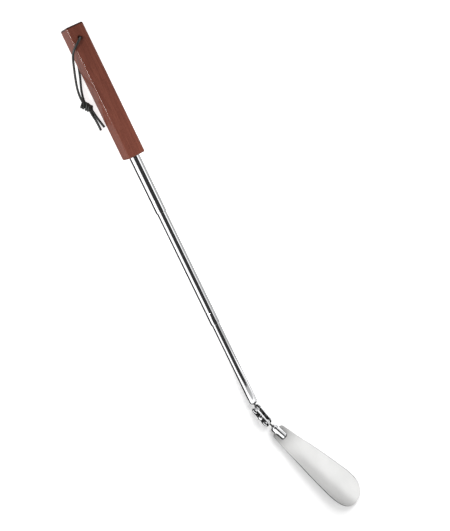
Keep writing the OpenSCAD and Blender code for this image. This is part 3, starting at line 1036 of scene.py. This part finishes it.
def make_screw(plate_material):
    """Slotted screw with a domed head, and rings for its thread from the tip to the washer."""
    top = PLATE_OUTER + HEAD_H
    angle = math.degrees(math.asin(HEAD_R / HEAD_DOME_R))
    dome = arc(top - HEAD_DOME_R, 0, HEAD_DOME_R, angle, 0, 10)
    dome[-1] = (dome[-1][0], 0)
    tip = -PLATE_OUTER - WASHER_H - NUT_H - SCREW_TAIL
    threads = []
    z = tip + SCREW_POINT
    while z < -PLATE_OUTER - WASHER_H - THREAD_PITCH:
        threads += [(z, SCREW_R), (z + THREAD_PITCH / 2, SCREW_R - THREAD_DEPTH)]
        z += THREAD_PITCH
    outline = fillet([(tip, 0), (tip, SCREW_R - POINT_INSET), *threads, (-PLATE_OUTER, SCREW_R),
                      (PLATE_OUTER, SCREW_R), (PLATE_OUTER, HEAD_R, HEAD_EDGE_R)], 3) + dome
    head_slot = box(-FAR, FAR, -HEAD_SLOT_HALF, HEAD_SLOT_HALF, top - HEAD_SLOT_DEPTH, top + PAST)
    screw = cut(upright(outline, 0), head_slot)
    screw.transform(Matrix.Translation((BALL_SPACING / 2, 0, 0)))
    finish_piece("slotted_screw", screw, LINK_FRAME, "link_body", plate_material,
                 ["clamp_screw"])


def make_washer(plate_material):
    """Split spring washer under the nut."""
    z0, z1 = -PLATE_OUTER - WASHER_H, -PLATE_OUTER
    ring = fillet([(z0, SCREW_HOLE_R, WASHER_INNER_EDGE_R), (z0, WASHER_R, WASHER_OUTER_EDGE_R),
                   (z1, WASHER_R, WASHER_OUTER_EDGE_R), (z1, SCREW_HOLE_R, WASHER_INNER_EDGE_R)], 3)
    washer = turned(lathe(ring, 64), "Y", -90)
    washer = cut(washer, box(0, FAR, -WASHER_SPLIT_HALF, WASHER_SPLIT_HALF, z0 - PAST, z1 + PAST))
    washer.transform(Matrix.Translation((BALL_SPACING / 2, 0, 0)))
    finish_piece("spring_washer", washer, LINK_FRAME, "link_body", plate_material,
                 ["lock_washer"])


def make_nut(plate_material):
    """Hexagonal nut with a countersunk hole."""
    z1 = -PLATE_OUTER - WASHER_H
    z0 = z1 - NUT_H
    corners = [math.pi / 3 * k for k in range(6)]
    nut = prism([(NUT_R * math.cos(a), NUT_R * math.sin(a)) for a in corners], z0, z1)
    bevel_edges(nut, NUT_BEVEL, 3)
    wide = SCREW_R + NUT_SINK
    narrow = SCREW_R + NUT_GAP
    bore = [(z0 - PAST, 0), (z0 - PAST, wide + NUT_GAP), (z0, wide), (z0 + NUT_SINK, narrow),
            (z1 - NUT_SINK, narrow), (z1, wide), (z1 + PAST, wide + NUT_GAP), (z1 + PAST, 0)]
    nut = cut(nut, upright(bore, 0))
    nut.transform(Matrix.Translation((BALL_SPACING / 2, 0, 0)))
    finish_piece("hex_nut", nut, LINK_FRAME, "link_body", plate_material,
                 ["clamp_nut"])


# ---- blade ----

def make_lower_stud(plate_material):
    """The second ball, its neck, and the shank that the ferrule turns on."""
    neck_start = math.sqrt(BALL_R ** 2 - NECK_R ** 2)
    ball = arc(0, 0, BALL_R, 180, math.degrees(math.asin(NECK_R / BALL_R)), 24)
    ball[0] = (ball[0][0], 0)
    shank_start = FERRULE_X + SHANK_INSET
    rest = fillet([(neck_start, NECK_R), (shank_start, NECK_R), (shank_start, SHANK_R),
                   (SHANK_END, SHANK_R, SHANK_EDGE_R), (SHANK_END, 0)], 3)
    finish_piece("turned_lower_stud", lathe(ball[:-1] + rest, closed=False), BLADE_FRAME,
                 "stud_body", plate_material, ["lower_stud"])


def make_ferrule(plate_material):
    """Bullet with a blind hole for the shank and a slot for the blade."""
    start = math.degrees(math.acos((FERRULE_X - FERRULE_DOME_X) / FERRULE_DOME_R))
    end = 180 - math.degrees(math.asin(FERRULE_R / FERRULE_DOME_R))
    nose = arc(FERRULE_DOME_X, 0, FERRULE_DOME_R, start, end, 12)
    hole_r = SHANK_R + SHANK_GAP
    hole_end = SHANK_END + SHANK_END_GAP
    outline = fillet([
        *nose, (FERRULE_DOME_X, FERRULE_R), (FERRULE_FRONT, FERRULE_R, FERRULE_EDGE_R),
        (FERRULE_FRONT, 0), (hole_end, 0), (hole_end, hole_r), (FERRULE_X, hole_r)], 5)
    slot = box(SLOT_X, FERRULE_FRONT + PAST, -FAR, FAR, BLADE_TOP - BLADE_THICKNESS, BLADE_TOP)
    ferrule = cut(lathe(outline, closed=False), slot)
    finish_piece("bullet_ferrule", ferrule, BLADE_FRAME, "blade_body", plate_material,
                 ["ferrule"])


def ease(share):
    """Smooth step from 0 to 1."""
    share = min(1, max(0, share))
    return share * share * (3 - 2 * share)


def blade_half_width(x):
    """Half the sheet's width: a heel with round corners, a flare, and a blunt round tip."""
    if x >= BLADE_WIDEST_X:
        share = min(1, (x - BLADE_WIDEST_X) / (BLADE_LENGTH - BLADE_WIDEST_X)) ** TIP_POWER
        return max(TIP_LEAST_HALF, BLADE_HALF * (1 - share) ** (1 / TIP_POWER))
    narrowing = max(0, 1 - x / BLADE_WIDEST_X) ** FLARE_POWER
    flare = BLADE_HALF - (BLADE_HALF - BLADE_HEEL_HALF) * narrowing
    d = max(0, BLADE_HEEL_CORNER - (x - BLADE_HEEL_X))
    return flare - BLADE_HEEL_CORNER + math.sqrt(max(0, BLADE_HEEL_CORNER ** 2 - d * d))


def blade_point(x, y):
    """Top of the sheet: a cup across it that grows in front of the ferrule, and a light bow."""
    cup = ease((x - CUP_START) / (CUP_END - CUP_START)) / CUP_RADIUS
    bow = BLADE_BOW * math.sin(math.radians(BOW_SWEEP) * max(0, x) / BLADE_LENGTH)
    return Vector((x, y, BLADE_TOP - bow + cup * y * y / 2))


def blade_stations():
    """Places of the cross sections, closer together around the heel's corners and the tip."""
    corner = [BLADE_HEEL_X + BLADE_HEEL_CORNER * (1 - math.cos(math.pi / 2 * k / CORNER_STEPS))
              for k in range(CORNER_STEPS)]
    start = BLADE_HEEL_X + BLADE_HEEL_CORNER
    body = [start + (BLADE_WIDEST_X - start) * k / BODY_STEPS for k in range(BODY_STEPS)]
    tip = [BLADE_WIDEST_X
           + (BLADE_LENGTH - BLADE_WIDEST_X) * math.sin(math.pi / 2 * k / TIP_STEPS)
           for k in range(TIP_STEPS + 1)]
    return corner + body + tip


def blade_outline():
    """Points on the blade's rim from the ferrule along its -y side and around the tip."""
    flank = [Vector((x + FERRULE_FRONT, -blade_half_width(x), 0))
             for x in range(0, BLADE_WIDEST_X, FENCE_STEP)]
    tip = []
    for k in range(FENCE_TIP_POINTS):
        share = (k + 0.5) / (FENCE_TIP_POINTS + 1)
        x = BLADE_WIDEST_X + (BLADE_LENGTH - BLADE_WIDEST_X) * math.sin(math.pi * share)
        side = -1 if share < 0.5 else 1
        tip.append(Vector((x + FERRULE_FRONT, side * blade_half_width(x), 0)))
    return flank + tip


def make_blade(steel):
    """Cupped sheet of even thickness with rounded rims, whose rim faces get painted shade and dark
    reflection.
    """
    bm = bmesh.new()
    rows = []
    for x in blade_stations():
        w = blade_half_width(x)
        turns = [math.pi / 2 * (2 * k / STEPS_ACROSS - 1) for k in range(STEPS_ACROSS + 1)]
        rows.append([bm.verts.new(blade_point(x, w * math.sin(turn))) for turn in turns])
    for one, two in zip(rows, rows[1:]):
        for k in range(STEPS_ACROSS):
            bm.faces.new((one[k], two[k], two[k + 1], one[k + 1]))
    bmesh.ops.translate(bm, verts=bm.verts, vec=(FERRULE_FRONT, 0, 0))
    sheet = temporary(bm)
    # Painted shade and dark reflection on the rim faces: the same steel at about a third of its
    # brightness
    painted_rim_steel = blade_steel("painted_rim_shade", 0.35)
    sheet.data.materials.append(steel)
    sheet.data.materials.append(painted_rim_steel)
    solid = sheet.modifiers.new("sheet", "SOLIDIFY")
    solid.material_offset_rim = 1
    solid.thickness = BLADE_THICKNESS
    solid.offset = -1
    solid.use_even_offset = False
    rim = sheet.modifiers.new("rim", "BEVEL")
    rim.width = BLADE_EDGE
    rim.segments = 4
    rim.limit_method = "ANGLE"
    rim.angle_limit = math.radians(50)
    rim.use_clamp_overlap = True
    piece = finish_piece("cupped_blade", applied(sheet), BLADE_FRAME, "blade_body",
                         steel, ["blade"], sharp=60)
    piece.data.materials.append(painted_rim_steel)


# ---- cord ----

def to_layout(point):
    return LAYOUT_FRAME @ Vector(point)


def make_strand(name, route, node, material):
    """One strand of the loop, and the points in the row frame that it follows."""
    path = smooth_route(route)
    bm = bmesh.new()
    sweep(bm, path, CORD_R)
    strand = finish_piece(name, bm, LAYOUT_FRAME, "handle_body", material,
                          [node], sharp=80)
    return strand, [to_layout(p) for p in path]


def make_tails(material):
    """The two loose ends past the knot."""
    bm = bmesh.new()
    for route in TAIL_ROUTES:
        sweep(bm, smooth_route(route), CORD_R)
    return finish_piece("cord_ends", bm, LAYOUT_FRAME, "handle_body", material,
                        ["cord_tails"], sharp=80)


def make_knot(material):
    """Pulled-tight overhand knot: the doubled cord wraps one and a half times around itself."""
    middle = Vector(KNOT_MIDDLE)
    ahead = Vector(KNOT_HEADING).normalized()
    side = UP.cross(ahead).normalized()
    rise = ahead.cross(side)
    bm = bmesh.new()
    for shift in (-1, 1):
        route = [Vector((83.6, -23.9 + 0.6 * shift, 4.8 + 0.8 * shift))]
        for k in range(KNOT_STEPS + 1):
            share = k / KNOT_STEPS
            angle = math.radians(KNOT_START + KNOT_SWEEP * share)
            reach = KNOT_R + KNOT_SWELL * math.sin(math.pi * share)
            x = KNOT_REAR + KNOT_LENGTH * share + KNOT_SPACING * shift
            route.append(middle + ahead * x + reach * (
                KNOT_FLATNESS * math.cos(angle) * side + math.sin(angle) * rise))
        route.append(Vector((97.5, -19.1 - 0.9 * shift, 3.6)))
        sweep(bm, smooth_route(route, 6), CORD_R, 12)
    core = [middle + ahead * KNOT_CORE_HALF * share for share in (-1, -0.5, 0.5, 1)]
    sweep(bm, smooth_route(core, 4), KNOT_CORE_R)
    return finish_piece("overhand_knot", bm, LAYOUT_FRAME, "handle_body",
                        material, ["cord_knot"], sharp=80)


def make_cord():
    """The loop's two strands, the knot and the cord's ends."""
    material = leather()
    front, front_path = make_strand("front_strand", FRONT_ROUTE, "cord_front_strand", material)
    back, back_path = make_strand("back_strand", BACK_ROUTE, "cord_back_strand", material)
    tails = make_tails(material)
    knot = make_knot(material)


# ---- the whole ----

def make_chrome_parts():
    """Every plated part; the number in metres is the width of the crevices that get painted shade."""
    tube_chrome = chrome("chrome", 0.001)
    screw_chrome = chrome("link_chrome", 0.005)
    # Painted shade on the ferrule along its front edge and beside the sheet
    ferrule_chrome = darkened(chrome("ferrule_chrome", 0.007), painted_ferrule_shade)
    seat_chrome = chrome("seat_chrome", 0.002)
    deep_shade_chrome = chrome("deep_shade_chrome", 0.007)
    make_tubes(tube_chrome)
    # Painted shade on both studs' necks and shanks; their balls stay bright
    make_upper_stud(darkened(chrome("upper_stud_chrome", 0.0012), beyond_ball(LINK_FRAME)))
    make_plate("near_link_plate", PLATE_INNER, PLATE_OUTER, seat_chrome, "near_plate")
    make_plate("far_link_plate", -PLATE_OUTER, -PLATE_INNER, deep_shade_chrome, "far_plate")
    make_screw(screw_chrome)
    make_washer(deep_shade_chrome)
    make_nut(deep_shade_chrome)
    make_lower_stud(darkened(chrome("lower_stud_chrome", 0.0012), beyond_ball(BLADE_FRAME)))
    make_ferrule(ferrule_chrome)


def finish_inner_nodes():
    """Gives the CAD's own bushes and sleeves, which are inside the tubes, their materials."""
    nodes_of = (
        (nylon(), ("guide_bush_1", "guide_bush_2")),
        (brass(), ("friction_sleeve_2", "friction_sleeve_3")),
    )
    for material, names in nodes_of:
        for name in names:
            mesh = frame["nodes"][name].data
            mesh.materials.clear()
            mesh.materials.append(material)


bpy.context.scene.view_settings.view_transform = "Standard"
make_camera()
make_world()
make_floor()
make_cards()
make_lights()
make_cord()
make_handle(mahogany())
make_chrome_parts()
make_blade(blade_steel("blade_steel"))
finish_inner_nodes()
